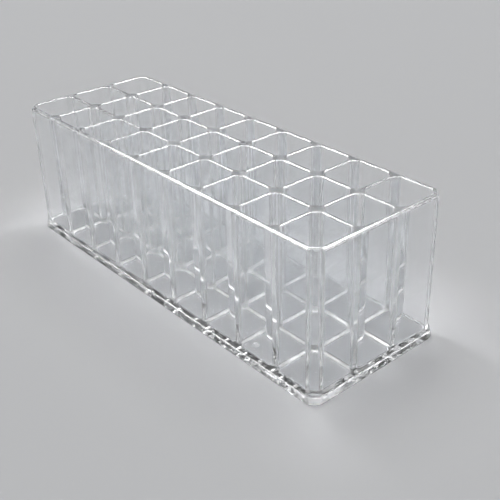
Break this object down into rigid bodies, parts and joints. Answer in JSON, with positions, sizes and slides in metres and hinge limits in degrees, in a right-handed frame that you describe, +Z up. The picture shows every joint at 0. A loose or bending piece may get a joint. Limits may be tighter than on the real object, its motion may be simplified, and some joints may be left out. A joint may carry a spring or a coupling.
{
  "type": "vanity organizer",
  "caption": "Clear rectangular block of deep, open square cells on a stepped base, for standing lipsticks and other slim tubes upright on a vanity.",
  "frame": {"origin": "middle of the flat underside that the organizer stands on", "axes": "+X along the long side, towards the right end wall; +Y across, from the front wall to the back wall; +Z up, out of the open cells"},
  "size_m": [0.2232, 0.078, 0.072],
  "materials": {
    "clear_plastic": "polished clear, colourless"
  },
  "bodies": {
    "root": {"base_plate": "clear_plastic", "front_wall": "clear_plastic", "back_wall": "clear_plastic", "left_end_wall": "clear_plastic", "right_end_wall": "clear_plastic", "long_divider_1": "clear_plastic", "long_divider_2": "clear_plastic", "cross_divider_1": "clear_plastic", "cross_divider_2": "clear_plastic", "cross_divider_3": "clear_plastic", "cross_divider_4": "clear_plastic", "cross_divider_5": "clear_plastic", "cross_divider_6": "clear_plastic", "cross_divider_7": "clear_plastic", "cross_divider_8": "clear_plastic", "corner_webs_row_1": "clear_plastic", "corner_webs_row_2": "clear_plastic", "corner_webs_row_3": "clear_plastic"}
  },
  "joints": []
}
